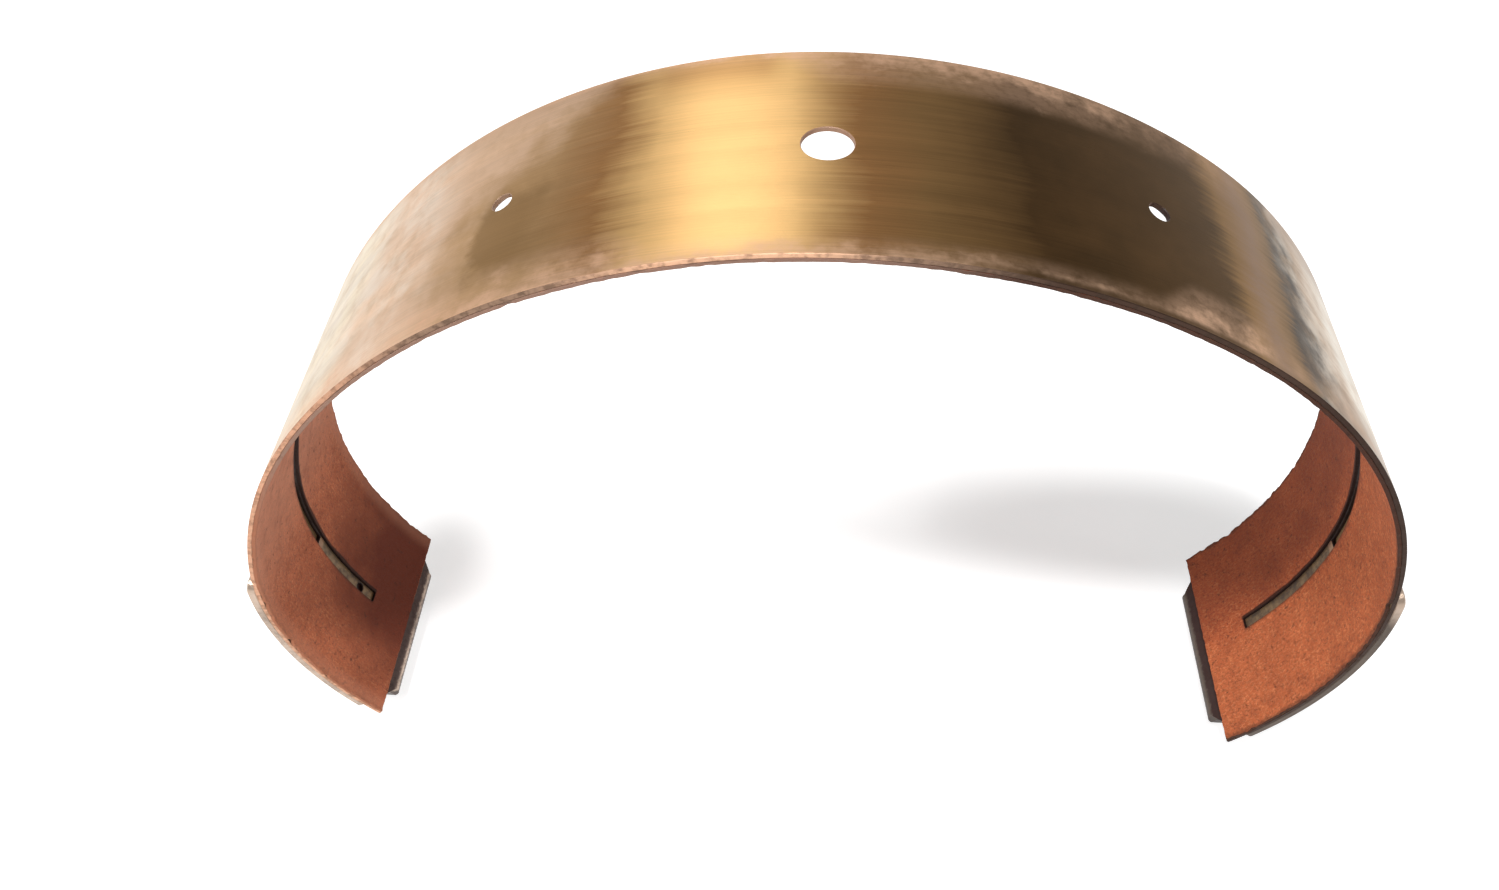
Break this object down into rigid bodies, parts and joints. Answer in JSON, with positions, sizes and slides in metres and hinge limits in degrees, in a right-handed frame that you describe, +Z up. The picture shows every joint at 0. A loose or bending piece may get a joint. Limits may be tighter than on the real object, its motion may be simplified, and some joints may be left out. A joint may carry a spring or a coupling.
{
  "type": "transmission band",
  "caption": "Sprung steel brake band for an automatic gearbox, with a bonded friction lining inside and a welded bracket with an outward lip at each end.",
  "frame": {"origin": "middle of the bounding box at the plane the band stands on", "axes": "+X from the servo end to the anchor end, +Y along the axis of the drum the band grips, +Z up, from the lips to the crown"},
  "size_m": [0.235, 0.0508, 0.1597],
  "materials": {
    "steel_strap": "brushed spring steel, tinted bronze by heat and oil, stained along the edges",
    "friction_lining": "resin-bonded paper friction lining, matt and fibrous, reddish brown, ragged along its cut edges",
    "apply_bracket": "stamped steel, grey-beige with dark maroon tints, worn bright on the bend",
    "anchor_bracket": "stamped steel, grey-beige with dark maroon tints, worn bright on the bend"
  },
  "bodies": {
    "root": {"steel_strap": "steel_strap", "friction_lining": "friction_lining", "apply_bracket": "apply_bracket", "anchor_bracket": "anchor_bracket"}
  },
  "joints": []
}
